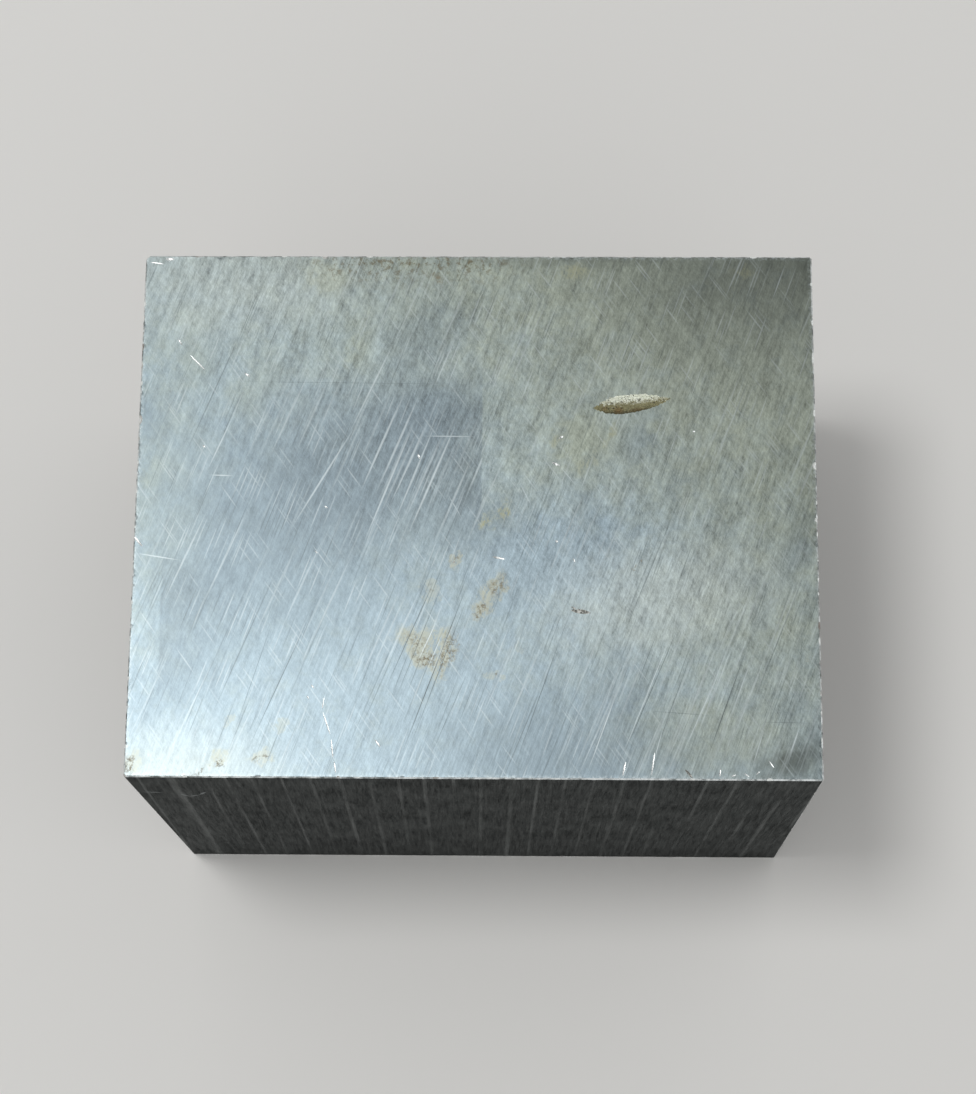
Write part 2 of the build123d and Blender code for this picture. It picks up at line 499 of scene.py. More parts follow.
pale_lines = (
    (-4.0, 3.1, 7, 0.14, 68, 0.6),
    (-5.6, 3.7, 6.2, 0.12, 69, 0.5),
    (-8.0, 2.7, 7.4, 0.13, 69, 0.55),
    (-9.8, 11.9, 5.5, 0.12, 66, 0.5),
    (-3.0, 14.4, 3.2, 0.10, 68, 0.45),
    (-14.1, 3.2, 6.6, 0.13, 60, 0.5),
    (-23.8, 6.4, 3.2, 0.10, 67, 0.45),
    (-2.5, 7.15, 2.9, 0.08, -0.5, 0.6),
    (-23.6, 3.3, 1.3, 0.08, -2, 0.6),
    (-29.2, -4.5, 2.5, 0.08, -9, 0.6),
    (8.5, 3.4, 1.4, 0.06, -51, 0.5),
    (11.7, -20.5, 4.6, 0.08, 70, 0.7),
    (25.7, -21.9, 2.2, 0.07, 72, 0.6),
    (28.9, -21.5, 1.8, 0.08, 70, 0.8),
    (15.7, -17.2, 7.4, 0.06, 68, 0.7),
    (20.7, -18.5, 4.9, 0.09, 66, 0.6),
    (24.2, -16.5, 3.7, 0.1, 70, 0.4),
    (16.6, -22.1, 2.2, 0.07, 74, 0.6),
    (-4.2, -12.2, 2.6, 0.07, 66, 0.8),
    (-3.6, -13.4, 2.2, 0.06, 68, 0.7),
    (-1.9, 0.4, 1.6, 0.08, -60, 0.4),
    (4.6, 1.6, 1.5, 0.07, -64, 0.5),
)

# Scratches too many to place: turn, length and width of a cell in millimetres that may hold one,
# share of the cells that do, half the scratch's share of its cell, strength
pale_families = (
    (67, 15, 0.34, 0.16, 0.40, 0.34),
    (70, 6, 0.24, 0.30, 0.38, 0.34),
    (-54, 5, 0.26, 0.24, 0.36, 0.3),
)
# These show in the middle shadow and at the front right
shadow_family = ((68, 13, 0.34, 0.5, 0.44, 0.55),)
dark_families = (
    (68, 20, 0.22, 0.08, 0.42, 0.45),
    (70, 9, 0.2, 0.26, 0.36, 0.4),
)


def hatch(tree, flat):
    """The grinder's strokes: 0 on average, and never as far from it as half the sum of the weights."""
    total = 0.0
    for turn, stroke, width, weight in passes:
        inputs = {"Vector": flat, "Rotation": (0, 0, math.radians(turn)), "Scale": (stroke, width, 1)}
        strokes = add(tree, "ShaderNodeMapping", inputs, vector_type="TEXTURE")
        inputs = {"Vector": strokes, "Scale": 1.0, "Detail": 4.0, "Roughness": 1.0}
        lines = add(tree, "ShaderNodeTexNoise", inputs, noise_dimensions="2D")
        centred = add(tree, "ShaderNodeMath", {0: lines, 1: 0.5}, operation="SUBTRACT")
        total = add(tree, "ShaderNodeMath", {0: centred, 1: weight, 2: total}, operation="MULTIPLY_ADD")
    return total


def scattered(tree, flat, families):
    """The strongest of the scratches that the families hold at a place."""
    total = 0.0
    for turn, cell_length, cell_width, share, reach, strength in families:
        inputs = {
            "Vector": flat,
            "Rotation": (0, 0, math.radians(turn)),
            "Scale": (cell_length, cell_width, 1),
        }
        cells = add(tree, "ShaderNodeMapping", inputs, vector_type="TEXTURE")
        inputs = {"Vector": cells, "Scale": 1.0}
        near = add(tree, "ShaderNodeTexVoronoi", inputs, voronoi_dimensions="2D")
        chance = near.node.outputs["Color"]
        draw = [add(tree, "ShaderNodeSeparateColor", {0: chance}, output=part) for part in (0, 1)]
        kept = add(tree, "ShaderNodeMath", {0: draw[0], 1: share}, operation="LESS_THAN")
        kept = add(tree, "ShaderNodeMath", {0: kept, 1: draw[1]}, operation="MULTIPLY")
        inputs = {0: near, 1: reach, 2: reach * 0.3, 3: 0.0, 4: strength}
        mark = add(tree, "ShaderNodeMapRange", inputs, interpolation_type="SMOOTHSTEP")
        mark = add(tree, "ShaderNodeMath", {0: mark, 1: kept}, operation="MULTIPLY")
        total = add(tree, "ShaderNodeMath", {0: mark, 1: total}, operation="MAXIMUM")
    return total


def within(tree, borders):
    """1 inside borders, each an axis and the two places on it between which it rises from 0 to 1."""
    total = 1.0
    for axis, outside, inside in borders:
        inputs = {0: axis, 1: outside, 2: inside}
        border = add(tree, "ShaderNodeMapRange", inputs, interpolation_type="SMOOTHSTEP")
        total = add(tree, "ShaderNodeMath", {0: border, 1: total}, operation="MULTIPLY")
    return total


tree, shader, place = finish("hand_ground_steel", roughness=0.44)
flat = add(tree, "ShaderNodeVectorMath", {0: place, 1: (1, 1, 0)}, operation="MULTIPLY")
x, y = (add(tree, "ShaderNodeSeparateXYZ", {0: flat}, output=axis) for axis in (0, 1))

# Uneven outlines for what has soaked or rubbed in
inputs = {"Vector": flat, "Scale": 0.8, "Detail": 3.0, "Roughness": 0.6}
stray = add(tree, "ShaderNodeTexNoise", inputs, output=1, noise_dimensions="2D")
stray = add(tree, "ShaderNodeVectorMath", {0: stray, 1: (0.5, 0.5, 0.5)}, operation="SUBTRACT")
uneven = add(tree, "ShaderNodeVectorMath", {0: stray, 1: (2.2, 2.2, 0), 2: flat}, operation="MULTIPLY_ADD")

# From cool to warm along a slanting line, in blotches
slant = add(tree, "ShaderNodeVectorMath", {0: flat, 1: (0.6, 0.8, 0)}, output=1, operation="DOT_PRODUCT")
slant = add(tree, "ShaderNodeMapRange", {0: slant, 1: -13.0, 2: 24.0, 3: -0.45, 4: 0.55})
inputs = {"Vector": flat, "Scale": 0.4, "Detail": 5.0, "Roughness": 0.75}
blotches = add(tree, "ShaderNodeTexNoise", inputs, noise_dimensions="2D")
warmth = add(tree, "ShaderNodeMath", {0: blotches, 1: 0.9, 2: slant}, operation="MULTIPLY_ADD")
cooled = ovals(tree, uneven, cool_clouds, 0.1)
warmth = add(tree, "ShaderNodeMath", {0: warmth, 1: cooled}, operation="SUBTRACT")
clouds = ovals(tree, uneven, olive_clouds, 0.1)
inputs = {0: clouds, 1: 0.7, 2: warmth}
warmth = add(tree, "ShaderNodeMath", inputs, operation="MULTIPLY_ADD", use_clamp=True)

# Two old shadows with one straight edge each, where something lay on the block while it tarnished.
# The front right is no shadow, but it was scored as the middle one was.
middle_shadow = within(tree, [(x, -26, -8), (x, 0.65, 0.45), (y, 16, 9), (y, -7, 2)])
front_right = within(tree, [(x, 4, 14), (y, -3, -14)])
left_shadow = within(tree, [(x, -28.9, -28.6), (x, -20, -27), (y, -3, -8), (y, -20, -15)])
shadows = add(tree, "ShaderNodeMath", {0: left_shadow, 1: 0.8, 2: middle_shadow}, operation="MULTIPLY_ADD")
clouds = ovals(tree, uneven, blue_clouds, 0.1)
inputs = {0: shadows, 1: 0.5, 2: clouds}
blue = add(tree, "ShaderNodeMath", inputs, operation="MULTIPLY_ADD", use_clamp=True)
dull_and_shaded = ovals(tree, uneven, tarnish_and_shade_clouds, 0.1)
hazy_and_sheen = ovals(tree, uneven, haze_and_sheen_clouds, 0.1)
layers = [(warmth, warm_steel), (hazy_and_sheen, haze_and_sheen), (blue, blue_grey), (dull_and_shaded, tarnish_and_shade)]
tone = blend(tree, colour(cool_steel), layers)

# The hatch stands out most towards the back right, less under tarnish and painted shade, and least
# at the front left
strokes = hatch(tree, flat)
weight = add(tree, "ShaderNodeMapRange", {0: slant, 1: -0.45, 2: 0.05, 3: 0.72, 4: 1.5})
faded = add(tree, "ShaderNodeMath", {0: dull_and_shaded, 1: -0.4, 2: 1.0}, operation="MULTIPLY_ADD")
weight = add(tree, "ShaderNodeMath", {0: weight, 1: faded}, operation="MULTIPLY")
shown_strokes = add(tree, "ShaderNodeMath", {0: strokes, 1: weight}, operation="MULTIPLY")
level = add(tree, "ShaderNodeMath", {0: shown_strokes, 1: 1.0}, operation="ADD")
tone = add(tree, "ShaderNodeVectorMath", {0: tone, "Scale": level}, operation="SCALE")

# Brown specks along the back edge, where damp crept in from the side
inputs = {"Vector": flat, "Scale": 1.5, "Detail": 4.0, "Roughness": 0.75}
specks = add(tree, "ShaderNodeTexNoise", inputs, noise_dimensions="2D")
specks = add(tree, "ShaderNodeMapRange", {0: specks, 1: 0.5, 2: 0.64, 4: 0.75})
damp = within(tree, [(y, 21, 24.5), (x, -19, -12), (x, 7, -1)])
specks = add(tree, "ShaderNodeMath", {0: specks, 1: damp}, operation="MULTIPLY")
tone = blend(tree, tone, [(specks, damp_brown)])

# Ochre and tan stains are thin and broken up by the strokes, and rust is broken up into crumbs
gaps = add(tree, "ShaderNodeMath", {0: strokes, 1: 5.0, 2: 0.75}, operation="MULTIPLY_ADD", use_clamp=True)
inputs = {"Vector": flat, "Scale": 2.6, "Detail": 4.0, "Roughness": 0.8}
crumbs = add(tree, "ShaderNodeTexNoise", inputs, noise_dimensions="2D")
crumbs = add(tree, "ShaderNodeMapRange", {0: crumbs, 1: 0.45, 2: 0.64})
soaked = []
for marks, rim, broken in ((ochre_stains, 0.1, gaps), (tan_stains, 0.55, gaps), (rust_stains, 0.2, crumbs)):
    stain = ovals(tree, uneven, marks, rim)
    soaked.append(add(tree, "ShaderNodeMath", {0: stain, 1: broken}, operation="MULTIPLY"))
tone = blend(tree, tone, [(soaked[0], ochre), (soaked[1], tan), (soaked[2], rust)])

# Scratches lie over everything. Most of the pale ones don't show in the haze and the painted sheen.
inputs = {0: ovals(tree, flat, dark_lines, 0.3), 1: scattered(tree, flat, dark_families)}
dark = add(tree, "ShaderNodeMath", inputs, operation="MAXIMUM")
# clear is 0 under the haze and the painted sheen
clear = add(tree, "ShaderNodeMath", {0: hazy_and_sheen, 1: -1.2, 2: 1.0}, operation="MULTIPLY_ADD", use_clamp=True)
shown_families = scattered(tree, flat, pale_families)
shown_families = add(tree, "ShaderNodeMath", {0: shown_families, 1: clear}, operation="MULTIPLY")
inputs = {0: ovals(tree, flat, pale_lines, 0.3), 1: shown_families}
pale = add(tree, "ShaderNodeMath", inputs, operation="MAXIMUM")

# The last half millimetre before each edge is rubbed bright in places
rims = 0.0
for off, half in ((x, half_length / MM), (y, half_depth / MM)):
    off = add(tree, "ShaderNodeMath", {0: off}, operation="ABSOLUTE")
    near = add(tree, "ShaderNodeMapRange", {0: off, 1: half - 0.5, 2: half - 0.15, 4: 0.6})
    rims = add(tree, "ShaderNodeMath", {0: near, 1: rims}, operation="MAXIMUM")
worn = add(tree, "ShaderNodeMath", {0: rims, 1: crumbs}, operation="MULTIPLY")
pale = add(tree, "ShaderNodeMath", {0: worn, 1: pale}, operation="MAXIMUM")
bright = scattered(tree, flat, shadow_family)
scored = add(tree, "ShaderNodeMath", {0: front_right, 1: 0.6, 2: middle_shadow}, operation="MULTIPLY_ADD")
bright = add(tree, "ShaderNodeMath", {0: bright, 1: scored}, operation="MULTIPLY")
pale = add(tree, "ShaderNodeMath", {0: bright, 1: pale}, operation="MAXIMUM")
tone = blend(tree, tone, [(dark, dark_scratch), (pale, pale_scratch)])
tree.links.new(tone, shader.inputs["Base Color"])

# Rust is less metallic and duller than steel, and the grooves of the first pass catch the light
metal = add(tree, "ShaderNodeMath", {0: soaked[2], 1: -0.5, 2: 1.0}, operation="MULTIPLY_ADD")
tree.links.new(metal, shader.inputs["Metallic"])
rough = add(tree, "ShaderNodeMath", {0: soaked[2], 1: 0.15, 2: 0.44}, operation="MULTIPLY_ADD")
tree.links.new(rough, shader.inputs["Roughness"])
turn, stroke, width = passes[0][:3]
inputs = {"Vector": flat, "Rotation": (0, 0, math.radians(turn)), "Scale": (stroke, width, 1)}
grooves = add(tree, "ShaderNodeMapping", inputs, vector_type="TEXTURE")
inputs = {"Vector": grooves, "Scale": 2.0, "Detail": 2.0, "Roughness": 0.8}
grooves = add(tree, "ShaderNodeTexNoise", inputs, noise_dimensions="2D")
bump = add(tree, "ShaderNodeBump", {"Strength": 1.0, "Distance": groove_bump, "Height": grooves})
tree.links.new(bump, shader.inputs["Normal"])
dress("hand_ground_steel", lambda face: sides_near(face) == [2] and face.center.z > height / 2)

# The underside was ground in the same way, and has only the hatch
tree, shader, place = finish("ground_steel_underside", roughness=0.46)
flat = add(tree, "ShaderNodeVectorMath", {0: place, 1: (1, 1, 0)}, operation="MULTIPLY")
strokes = hatch(tree, flat)
inputs = {"Vector": flat, "Scale": 0.15, "Detail": 4.0}
cloud = add(tree, "ShaderNodeTexNoise", inputs, noise_dimensions="2D")
cloud = add(tree, "ShaderNodeMapRange", {0: cloud, 1: 0.4, 2: 0.7})
level = add(tree, "ShaderNodeMath", {0: strokes, 1: 1.0, 2: 1.0}, operation="MULTIPLY_ADD")
scratched = scattered(tree, flat, dark_families)
tone = blend(tree, colour(cool_steel), [(cloud, warm_steel), (scratched, dark_scratch)])
tone = add(tree, "ShaderNodeVectorMath", {0: tone, "Scale": level}, operation="SCALE")
tree.links.new(tone, shader.inputs["Base Color"])
dress("ground_steel_underside", lambda face: sides_near(face) == [2] and face.center.z < height / 2)

# The gouge: a pit in the skin of the rolled bar, too deep for the grinder to take out.
# It keeps the bar's raw crust, tan, rusty at the near left and pebbled all over. Light and shade
# are painted on it: cream-white on the far wall and dark on the near wall. It is blunt at its left
# end and drawn out thin at its right end.

gouge_middle = Vector((14.5, 10.4, 50)) * MM
gouge_length, gouge_width, gouge_sink = 7.3, 1.75, 0.5
gouge_turn = math.radians(7.5)
gouge_taper = -0.5
crust_painted_shade, crust_tan, crust_painted_cream = "#55533c", "#96926f", "#f4f8ea"
crust_rust, crust_speck = "#7d6036", "#34332a"
pebble_bump = 0.05 * MM

# Rusty places in the gouge, in shares of its half length and half width, otherwise as the stains
crust_stains = (
    (-0.36, -0.35, 0.22, 0.7, 0, 1.6),
    (-0.7, -0.1, 0.15, 0.5, 0, 0.8),
    (0.1, -0.6, 0.3, 0.4, 0, 0.8),
)

# A ball of 1 mm radius with its ends drawn out into points along X. Each ring shrinks from the
# ball's radius at its place x, the root of 1 - x ** 2, to 1 - x ** fullness.
fullness = 2.4
spindle_shape, place = new_relief("spindle")
along = add(spindle_shape, "ShaderNodeSeparateXYZ", {0: place})
off = add(spindle_shape, "ShaderNodeMath", {0: along}, operation="ABSOLUTE")
full = add(spindle_shape, "ShaderNodeMath", {0: off, 1: fullness}, operation="POWER")
full = add(spindle_shape, "ShaderNodeMath", {0: 1.0, 1: full}, operation="SUBTRACT")
ball = add(spindle_shape, "ShaderNodeMath", {0: off, 1: 2.0}, operation="POWER")
# The spare ten-thousandth keeps the tips from a division by zero
ball = add(spindle_shape, "ShaderNodeMath", {0: 1.0001, 1: ball}, operation="SUBTRACT")
ball = add(spindle_shape, "ShaderNodeMath", {0: ball}, operation="SQRT")
share = add(spindle_shape, "ShaderNodeMath", {0: full, 1: ball}, operation="DIVIDE")
gain = add(spindle_shape, "ShaderNodeMath", {0: share, 1: 1.0}, operation="SUBTRACT")
gain = add(spindle_shape, "ShaderNodeMath", {0: gain, 1: MM}, operation="MULTIPLY")
ring = add(spindle_shape, "ShaderNodeVectorMath", {0: place, 1: (0, 1, 1)}, operation="MULTIPLY")
ring = add(spindle_shape, "ShaderNodeVectorMath", {0: ring, "Scale": gain}, operation="SCALE")
end_relief(spindle_shape, ring)


def spindle(point, length, width, sink, turn, rounds=3):
    """Adds a pointed cutter that lies half sunk at a point: length, width and sink in millimetres,
    and the turn that lays its X along the mark and its Z out of the steel."""
    bpy.ops.object.select_all(action="DESELECT")
    bpy.ops.mesh.primitive_ico_sphere_add(subdivisions=rounds, radius=MM)
    cutter = bpy.context.object
    press(cutter, spindle_shape)
    cutter.location = point
    cutter.rotation_euler = turn
    cutter.scale = (length / 2, width / 2, sink)
    bpy.ops.object.transform_apply(location=True, rotation=True, scale=True)
    return cutter


def roughen(cutter, grain, reach):
    """Moves a cutter's surface in and out at random: size of the grains and reach in millimetres."""
    tree, place = new_relief("crushed")
    noise = add(tree, "ShaderNodeTexNoise", {"Vector": place, "Scale": 1 / grain, "Detail": 2.0})
    push = add(tree, "ShaderNodeMath", {0: noise, 1: 0.5}, operation="SUBTRACT")
    push = add(tree, "ShaderNodeMath", {0: push, 1: 2 * reach * MM}, operation="MULTIPLY")
    normal = add(tree, "GeometryNodeInputNormal")
    end_relief(tree, add(tree, "ShaderNodeVectorMath", {0: normal, "Scale": push}, operation="SCALE"))
    press(cutter, tree)


def cut(cutter, material):
    """Takes the cutter out of the block, and gives the cut faces the material."""
    cutter.data.materials.append(bpy.data.materials[material])
    bpy.context.view_layer.objects.active = block
    modifier = block.modifiers.new("cut", "BOOLEAN")
    modifier.operation = "DIFFERENCE"
    modifier.solver = "MANIFOLD"
    modifier.material_mode = "TRANSFER"
    modifier.object = cutter
    bpy.ops.object.modifier_apply(modifier=modifier.name)
    bpy.data.objects.remove(cutter)


gouge = spindle((0, 0, 0), gouge_length, gouge_width, gouge_sink, (0, 0, 0), rounds=6)
taper = gouge.modifiers.new("taper", "SIMPLE_DEFORM")
taper.deform_method = "TAPER"
taper.deform_axis = "X"
taper.factor = gouge_taper
bpy.ops.object.modifier_apply(modifier=taper.name)
gouge.location = gouge_middle
gouge.rotation_euler = (0, 0, gouge_turn)
bpy.ops.object.transform_apply(location=True, rotation=True, scale=True)
roughen(gouge, grain=0.2, reach=0.22)

# Crust is dull and stony: no metal shows in it. Its colour holds painted light and shade, lit and
# cream-white towards the far wall and on the pebbles and dark towards the near wall, and the
# pebbles also have a bump
tree, shader, place = finish("raw_pitted_crust", roughness=0.85, metallic=0.0)
inputs = {
    "Vector": place,
    "Location": gouge_middle / MM,
    "Rotation": (0, 0, gouge_turn),
    "Scale": (gouge_length / 2, gouge_width / 2, 1),
}
inside = add(tree, "ShaderNodeMapping", inputs, vector_type="TEXTURE")
along, across = (add(tree, "ShaderNodeSeparateXYZ", {0: inside}, output=axis) for axis in (0, 1))
inputs = {"Vector": place, "Scale": 5.0, "Detail": 3.0, "Roughness": 0.7}
pebbles = add(tree, "ShaderNodeTexNoise", inputs)
# wall: how far a point lies towards the far wall, roughened by the pebbles; it places the painted light and
# shade
wall = add(tree, "ShaderNodeMath", {0: along, 1: 0.18, 2: across}, operation="MULTIPLY_ADD")
wall = add(tree, "ShaderNodeMath", {0: pebbles, 1: 2.2, 2: wall}, operation="MULTIPLY_ADD")
painted_lit = add(tree, "ShaderNodeMapRange", {0: wall, 1: 0.2, 2: 0.85}, interpolation_type="SMOOTHSTEP")
painted_cream_mask = add(tree, "ShaderNodeMapRange", {0: wall, 1: 1.15, 2: 1.8}, interpolation_type="SMOOTHSTEP")
rusty = ovals(tree, inside, crust_stains, 0.2)
rusty = add(tree, "ShaderNodeMath", {0: rusty, 1: pebbles}, operation="MULTIPLY")
specks = add(tree, "ShaderNodeTexNoise", {"Vector": place, "Scale": 6.0, "Detail": 2.0})
specks = add(tree, "ShaderNodeMapRange", {0: specks, 1: 0.6, 2: 0.68})
layers = [(painted_lit, crust_tan), (painted_cream_mask, crust_painted_cream), (rusty, crust_rust), (specks, crust_speck)]
tree.links.new(blend(tree, colour(crust_painted_shade), layers), shader.inputs["Base Color"])
bump = add(tree, "ShaderNodeBump", {"Strength": 1.0, "Distance": pebble_bump, "Height": pebbles})
tree.links.new(bump, shader.inputs["Normal"])
cut(gouge, "raw_pitted_crust")

# Dents and short scratches that cut deep enough to lift the steel.
# Fresh ones show torn, bright metal, painted near white partly as a glint, and older ones are dark with
# dirt.

torn_bright_and_glint, torn_grey = "#f4f7f6", "#b9bfbe"
dent_dirt, dent_painted_glint = "#7f807b", "#dfe0db"

# Marks in the top: (along X, along Y, length, width, sink, turn), in millimetres and degrees
fresh_marks = (
    (-26.2, 14.3, 2.2, 0.16, 0.05, -45),
    (-27.9, 16.3, 0.8, 0.14, 0.04, -57),
    (-21.5, 13.1, 0.6, 0.22, 0.05, -37),
    (-30.4, 24.2, 1.4, 0.14, 0.04, -8),
    (-29.2, 24.6, 0.9, 0.30, 0.08, 0),
    (-31.1, -3.0, 1.5, 0.24, 0.08, -49),
    (-25.3, 6.1, 0.35, 0.2, 0.05, -45),
    (-13.8, 0.3, 0.4, 0.14, 0.04, -34),
    (-14.6, -4.0, 0.45, 0.12, 0.04, -45),
    (-5.3, 5.2, 0.5, 0.2, 0.06, -68),
    (7.4, 4.5, 0.85, 0.26, 0.10, -23),
    (7.9, 7.1, 0.5, 0.22, 0.08, 30),
    (2.2, -4.5, 1.3, 0.22, 0.08, -11),
    (7.5, -2.9, 0.3, 0.2, 0.05, -40),
    (9.1, -4.7, 0.5, 0.14, 0.05, -64),
    (20.2, 7.7, 0.24, 0.18, 0.05, -14),
    (-13.6, -18.1, 1.3, 0.12, 0.04, 82),
    (-13.25, -20.0, 2.4, 0.15, 0.05, -71),
    (-12.7, -22.3, 1.9, 0.16, 0.05, -83),
    (-14.6, -16.6, 0.5, 0.14, 0.04, -50),
    (-15.0, -17.6, 0.4, 0.12, 0.04, -60),
    (-12.4, -24.0, 1.2, 0.16, 0.05, -80),
    (-8.6, -21.8, 0.85, 0.17, 0.05, -55),
    (16.2, -23.5, 2.3, 0.16, 0.05, 82),
    (13.6, -24.0, 1.5, 0.17, 0.05, 78),
    (22.2, -24.3, 0.8, 0.17, 0.05, 85),
    (26.8, -23.5, 0.9, 0.13, 0.04, -54),
    (23.4, -24.55, 0.5, 0.12, 0.03, 20),
    (24.6, -24.5, 0.6, 0.12, 0.03, -35),
    (25.6, -24.3, 0.5, 0.1, 0.03, 40),
)
dirty_marks = (
    (9.7, -9.5, 1.9, 0.42, 0.14, -8),
    (9.1, -9.2, 0.7, 0.16, 0.06, -30),
    (19.4, -24.4, 1.1, 0.22, 0.07, -50),
    (-1.9, -4.9, 0.24, 0.2, 0.06, 60),
)


def joined(cutters):
    """Makes the cutters one object, and leaves it active."""
    bpy.ops.object.select_all(action="DESELECT")
    for cutter in cutters:
        cutter.select_set(True)
    bpy.context.view_layer.objects.active = cutters[0]
    bpy.ops.object.join()
    return cutters[0]


# Torn steel is clean; its near-white colour is partly a painted glint
tree, shader, place = finish("torn_bright_steel", roughness=0.34)
chips = add(tree, "ShaderNodeTexNoise", {"Vector": place, "Scale": 4.0, "Detail": 3.0})
chips = add(tree, "ShaderNodeMapRange", {0: chips, 1: 0.5, 2: 0.7})
tree.links.new(blend(tree, colour(torn_bright_and_glint), [(chips, torn_grey)]), shader.inputs["Base Color"])

# Dirt takes the gloss off an older dent, and a few glints are painted on it
tree, shader, place = finish("dirty_dent", roughness=0.7, metallic=0.4)
chips = add(tree, "ShaderNodeTexNoise", {"Vector": place, "Scale": 5.0, "Detail": 3.0})
chips = add(tree, "ShaderNodeMapRange", {0: chips, 1: 0.45, 2: 0.58})
tree.links.new(blend(tree, colour(dent_dirt), [(chips, dent_painted_glint)]), shader.inputs["Base Color"])

for marks, material in ((fresh_marks, "torn_bright_steel"), (dirty_marks, "dirty_dent")):
    cutters = [
        spindle((x * MM, y * MM, height), long, wide, sink, (0, 0, math.radians(turn)))
        for x, y, long, wide, sink, turn in marks
    ]
    cutter = joined(cutters)
    roughen(cutter, grain=0.15, reach=0.012)
    cut(cutter, material)

# Knocks along the edges: nicks and chips from the block's handling, and three crushed corners.
# They show bare steel, bright where it is fresh and brown where it has begun to rust.

knock_bright, knock_brown = "#e6eae8", "#86807a"


def edge_turn(tilt, spin, level):
    """The turn that lays X along an edge, and Z out of it between its two faces: up at the top,
    down at the underside."""
    if not level:
        tilt = math.copysign(180, tilt) - tilt
    return Euler((math.radians(tilt), 0, math.radians(spin)))


# Where each edge has its middle, how it is turned, and how far it reaches each way
right, left = (half_length, 0), (-half_length, 0)
back, front = (0, half_depth), (0, -half_depth)
edge_places = {
    (side, level): (Vector((*side, level)), edge_turn(tilt, spin, level), reach)
    for side, tilt, spin, reach in (
        (right, 45, 90, half_depth),
        (left, -45, 90, half_depth),
        (back, -45, 0, half_length),
        (front, 45, 0, half_length),
    )
    for level in (height, 0)
}
for side_x in (-1, 1):
    for side_y in (-1, 1):
        corner = Vector((side_x * half_length, side_y * half_depth, height / 2))
        turn = Euler((math.atan2(-side_y, -side_x), -math.pi / 2, 0))
        edge_places[(side_x, side_y)] = (corner, turn, height / 2)

# Nicks that show in the top's edges: (place along the edge, length, sink), in millimetres
nicks = {
    right: (
        (14.7, 2.3, 0.20),
        (4.4, 0.95, 0.34),
        (0.9, 0.7, 0.14),
        (-0.75, 0.6, 0.27),
        (-22.6, 0.5, 0.16),
    ),
    left: ((8.7, 1.15, 0.30), (4.5, 0.7, 0.18), (17.2, 0.6, 0.14)),
    back: ((-14.5, 0.7, 0.28), (14.4, 1.4, 0.16)),
    front: ((-12.1, 0.5, 0.18), (19.7, 0.9, 0.17)),
}
nick_spread = 3.0  # width of a nick's mouth for each millimetre that it is sunk

# Small chips all along the edges, in millimetres
chip_sinks = (0.12, 0.2)
chip_stretch = (3, 6)  # length of a chip for each millimetre that it is sunk
close_chips, sparse_chips = 2.6, 7.0  # mean distance between chips
corner_gap = 2.5  # no chip is nearer than this to a corner
nick_gap = 0.6  # nor nearer than this, and the nick's length, to the middle of a nick

# Corners of the top that were knocked flat: (side on X, side on Y, reach in millimetres)
corner_knocks = ((-1, 1, 0.55), (-1, -1, 0.45), (1, 1, 0.35))
knock_slope = math.radians(30)  # tilt of a flat from the upright
slab_spare = 4  # the slab that cuts a flat is this many reaches wide
draw = random.Random(11)

# Knocked steel is bright while it is fresh, and turns brown in places
tree, shader, place = finish("knocked_steel", roughness=0.45)
age = add(tree, "ShaderNodeTexNoise", {"Vector": place, "Scale": 0.5, "Detail": 3.0})
age = add(tree, "ShaderNodeMapRange", {0: age, 1: 0.48, 2: 0.66})
tree.links.new(blend(tree, colour(knock_bright), [(age, knock_brown)]), shader.inputs["Base Color"])

cutters = []
for side, marks in nicks.items():
    middle, turn, reach = edge_places[(side, height)]
    way = turn.to_matrix() @ Vector((1, 0, 0))
    for place_along, long, sink in marks:
        point = middle + way * place_along * MM
        cutters.append(spindle(point, long, nick_spread * sink, sink, turn, rounds=4))
cutter = joined(cutters)
roughen(cutter, grain=0.25, reach=0.03)
cut(cutter, "knocked_steel")

cutters = []
for key, (middle, turn, reach) in edge_places.items():
    way = turn.to_matrix() @ Vector((1, 0, 0))
    at_top = key in ((right, height), (left, height), (back, height), (front, height))
    own_nicks = nicks[key[0]] if at_top else ()
    step = close_chips if key[0] in (left, right) and at_top else sparse_chips
    place_along = -reach / MM + corner_gap + draw.uniform(0, step)
    while place_along < reach / MM - corner_gap:
        sink = draw.uniform(*chip_sinks)
        if all(abs(place_along - nick[0]) >= nick[1] + nick_gap for nick in own_nicks):
            point = middle + way * place_along * MM
            long = draw.uniform(*chip_stretch) * sink
            cutters.append(spindle(point, long, nick_spread * sink, sink, turn))
        place_along += draw.uniform(0.5, 1.5) * step
for side_x, side_y, reach in corner_knocks:
    side = slab_spare * reach * MM
    facing = Euler((0, -knock_slope, math.atan2(side_y, side_x)))
    corner_x = side_x * (half_length - reach * MM / 2)
    corner_y = side_y * (half_depth - reach * MM / 2)
    corner = Vector((corner_x, corner_y, height))
    middle = corner + facing.to_matrix() @ Vector((side / 2, 0, 0))
    bpy.ops.mesh.primitive_cube_add(size=side, location=middle, rotation=facing)
    bpy.ops.object.mode_set(mode="EDIT")
    bpy.ops.mesh.subdivide(number_cuts=16)
    bpy.ops.object.mode_set(mode="OBJECT")
    bpy.ops.object.transform_apply(location=True, rotation=True, scale=True)
    cutters.append(bpy.context.object)
cutter = joined(cutters)
roughen(cutter, grain=0.2, reach=0.03)
cut(cutter, "knocked_steel")

# Crumbs that the cuts left loose fall off: what doesn't hang together with the underside
bpy.ops.object.select_all(action="DESELECT")
block.select_set(True)
bpy.context.view_layer.objects.active = block
select(block, "polygons", lambda face: face.center.z < hair)
bpy.ops.mesh.select_linked()
bpy.ops.mesh.select_all(action="INVERT")
bpy.ops.mesh.delete(type="VERT")
bpy.ops.object.mode_set(mode="OBJECT")

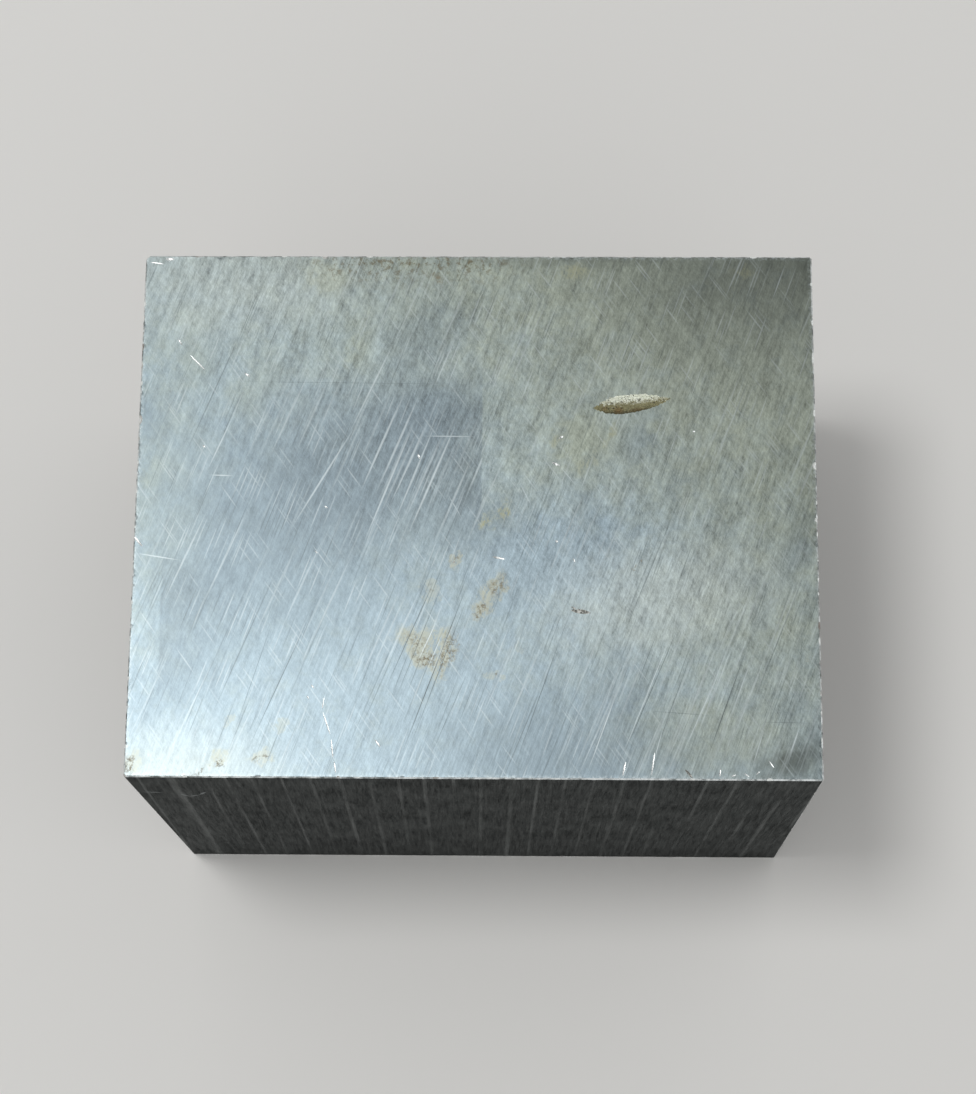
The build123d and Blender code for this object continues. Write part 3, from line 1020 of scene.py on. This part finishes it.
# Sharp rims round everything that was cut, and smooth shading elsewhere
cut_finishes = ("raw_pitted_crust", "torn_bright_steel", "dirty_dent", "knocked_steel")
for index, material in enumerate(block.data.materials):
    if material.name in cut_finishes:
        select(block, "polygons", lambda face, index=index: face.material_index == index)
        bpy.ops.mesh.region_to_loop()
        bpy.ops.mesh.mark_sharp()
bpy.ops.object.mode_set(mode="OBJECT")
bpy.ops.object.shade_smooth_by_angle(angle=math.radians(30), keep_sharp_edges=True)

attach(block, "root")
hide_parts("steel_block")

# The stage: a matt pale floor, one soft lamp high on the left, and a plain room round the block
# that is brighter low down than overhead. It is only there to show the block.

floor_white = "#eeedea"
lamp_way = Vector((-12.8, 1.8, 50)).normalized()
lamp_reach, lamp_width, lamp_watts = 0.6, 0.14, 1.2
room_low, room_high = 1.35, 0.32  # strength of the room's light
camera_place = Vector((5.869, -64.172, 282.597)) * MM
camera_turns = [math.radians(turn) for turn in (14.635, 1.019, 0.509)]

bpy.ops.object.select_all(action="DESELECT")
bpy.ops.mesh.primitive_plane_add(size=6, location=(0, 0, 0))
floor = bpy.context.object
floor.name = "floor"
# Matt, so that it takes the block's shadow and shows no reflection
tree, shader, place = finish("matt_pale_floor", roughness=0.9, metallic=0.0)
shader.inputs["Base Color"].default_value = colour(floor_white)
floor.data.materials.append(bpy.data.materials["matt_pale_floor"])

bpy.ops.object.light_add(type="AREA", location=Vector((0, 0, height)) + lamp_way * lamp_reach)
lamp = bpy.context.object
lamp.data.shape = "DISK"
lamp.data.size = lamp_width
lamp.data.energy = lamp_watts
lamp.rotation_euler = lamp_way.to_track_quat("Z", "Y").to_euler()

scene = bpy.context.scene
world = bpy.data.worlds.new("room")
scene.world = world
world.use_nodes = True
tree = world.node_tree
tree.nodes.clear()
look = add(tree, "ShaderNodeTexCoord")
rise = add(tree, "ShaderNodeSeparateXYZ", {0: look}, output=2)
inputs = {0: rise, 1: 0.25, 2: 0.8, 3: room_low, 4: room_high}
level = add(tree, "ShaderNodeMapRange", inputs, interpolation_type="SMOOTHSTEP")
shine = add(tree, "ShaderNodeBackground", {"Strength": level})
tree.links.new(shine, tree.nodes.new("ShaderNodeOutputWorld").inputs[0])

bpy.ops.object.camera_add(location=camera_place, rotation=camera_turns)
camera = bpy.context.object
camera.data.lens = 86.15
camera.data.sensor_width = 36
camera.data.clip_start = 0.01
scene.camera = camera
scene.view_settings.view_transform = "Standard"
